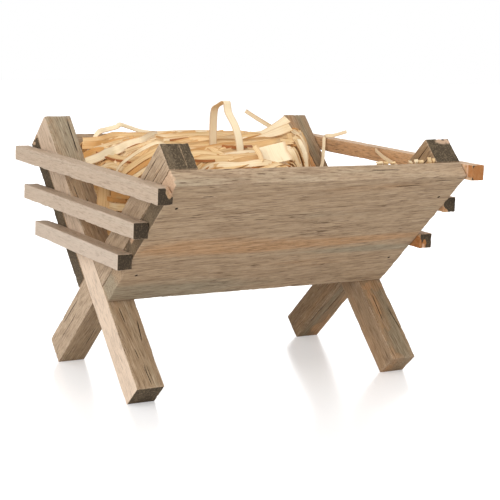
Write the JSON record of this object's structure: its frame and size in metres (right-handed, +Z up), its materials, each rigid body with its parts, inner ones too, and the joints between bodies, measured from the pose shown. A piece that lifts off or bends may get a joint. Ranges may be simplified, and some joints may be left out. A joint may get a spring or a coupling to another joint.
{
  "type": "wooden manger",
  "caption": "Small weathered-wood manger: crossed square legs carry two sloping boards, end slats close the trough, and a bed of pale straw fills it.",
  "frame": {"origin": "on the ground, at the centre of the footprint of the whole object", "axes": "+X along the boards towards the right end seen from the front, +Y towards the back board, +Z up"},
  "size_m": [0.2422, 0.2302, 0.1919],
  "materials": {
    "leg_wood": "weathered grey-brown softwood, matt, long dark drying cracks",
    "board_wood": "weathered board, matt, warm orange bands, short dark pore dashes",
    "slat_wood": "pale weathered stick, matt, dark end grain",
    "floor_wood": "rough weathered strip, matt",
    "straw": "flat dry raffia ribbons, pale straw yellow with a slight sheen",
    "brad_steel": "dull dark wire"
  },
  "bodies": {
    "root": {"front_board": "board_wood", "left_leg_leaning_front": "leg_wood", "brad_front_left_lower": "brad_steel", "brad_front_left_upper": "brad_steel", "right_leg_leaning_front": "leg_wood", "brad_front_right_lower": "brad_steel", "brad_front_right_upper": "brad_steel", "back_board": "board_wood", "left_leg_leaning_back": "leg_wood", "brad_back_left_lower": "brad_steel", "brad_back_left_upper": "brad_steel", "right_leg_leaning_back": "leg_wood", "brad_back_right_lower": "brad_steel", "brad_back_right_upper": "brad_steel", "floor_strip": "floor_wood", "left_slat_top": "slat_wood", "left_slat_middle": "slat_wood", "left_slat_bottom": "slat_wood", "right_slat_top": "slat_wood", "right_slat_middle": "slat_wood", "right_slat_bottom": "slat_wood", "straw_heap": "straw", "straw_thin_layer": "straw", "straw_loop": "straw", "straw_leaning_strand": "straw", "straw_hooked_strand": "straw", "straw_short_strand": "straw", "straw_wide_flake": "straw", "straw_upper_ribbon": "straw", "straw_lower_ribbon": "straw", "straw_bent_ribbon": "straw", "straw_arch": "straw"}
  },
  "joints": []
}
